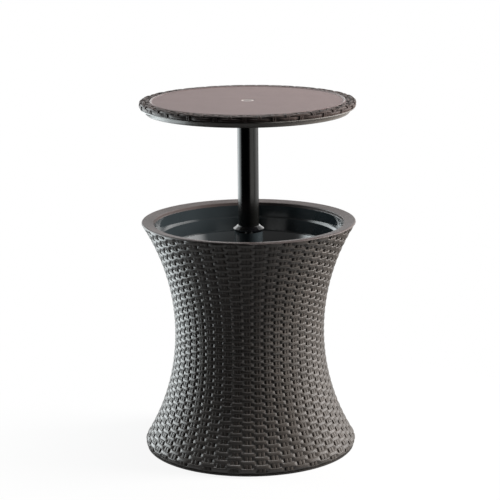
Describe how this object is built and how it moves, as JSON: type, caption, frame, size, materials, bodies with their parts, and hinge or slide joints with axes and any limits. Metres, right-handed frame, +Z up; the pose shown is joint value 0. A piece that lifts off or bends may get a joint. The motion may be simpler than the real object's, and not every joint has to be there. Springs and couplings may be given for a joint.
{
  "type": "outdoor side table",
  "caption": "Round outdoor side table on a post that lifts and twists out of a flared, woven-look body with a drinks bucket inside.",
  "frame": {"origin": "centre of the foot ring on the floor", "axes": "+Z up along the post; -Y faces the picture's camera"},
  "size_m": [0.4949, 0.495, 0.8172],
  "materials": {
    "woven_resin": "satin, moulded weave",
    "satin_resin": "satin, fine grain",
    "gloss_resin": "gloss",
    "black_gloss": "gloss",
    "black_resin": "satin",
    "bearing_resin": "satin",
    "seal_rubber": "matte",
    "steel": "zinc plated"
  },
  "bodies": {
    "base": {"foot_ring": "black_resin", "lower_body": "woven_resin", "upper_body": "woven_resin", "seam_screws": "steel", "rim_ring": "satin_resin", "bucket_mouth": "black_gloss", "cooler_bucket": "black_gloss", "centre_chimney": "black_gloss", "guide_tube": "black_resin", "guide_screws": "steel", "lock_collar": "black_gloss", "upper_bush": "bearing_resin", "drain_seat": "black_resin", "drain_gasket": "seal_rubber", "drain_nut": "black_resin"},
    "glide": {"glide_ring": "bearing_resin"},
    "table": {"post_tube": "black_gloss", "post_foot": "black_resin", "foot_washer": "steel", "foot_screw": "steel", "post_head": "black_resin", "post_rivets": "steel", "lid_under_shell": "gloss_resin", "table_top_panel": "satin_resin", "lid_screws": "steel", "centre_bolt": "steel", "bolt_washer": "steel", "centre_cap": "satin_resin"},
    "drain": {"drain_plug": "black_resin", "drain_seal": "seal_rubber"}
  },
  "joints": [
    {"name": "table_lift", "type": "slide", "parent": "base", "child": "glide", "axis": [0, 0, 1], "range_m": [-0.252, 0]},
    {"name": "table_twist", "type": "hinge", "parent": "glide", "child": "table", "pos_m": [0, 0, 0.46], "axis": [0, 0, 1], "range_deg": [0, 40]},
    {"name": "drain_plug_pull", "type": "slide", "parent": "base", "child": "drain", "axis": [0, 0, 1], "range_m": [0, 0.06]}
  ]
}
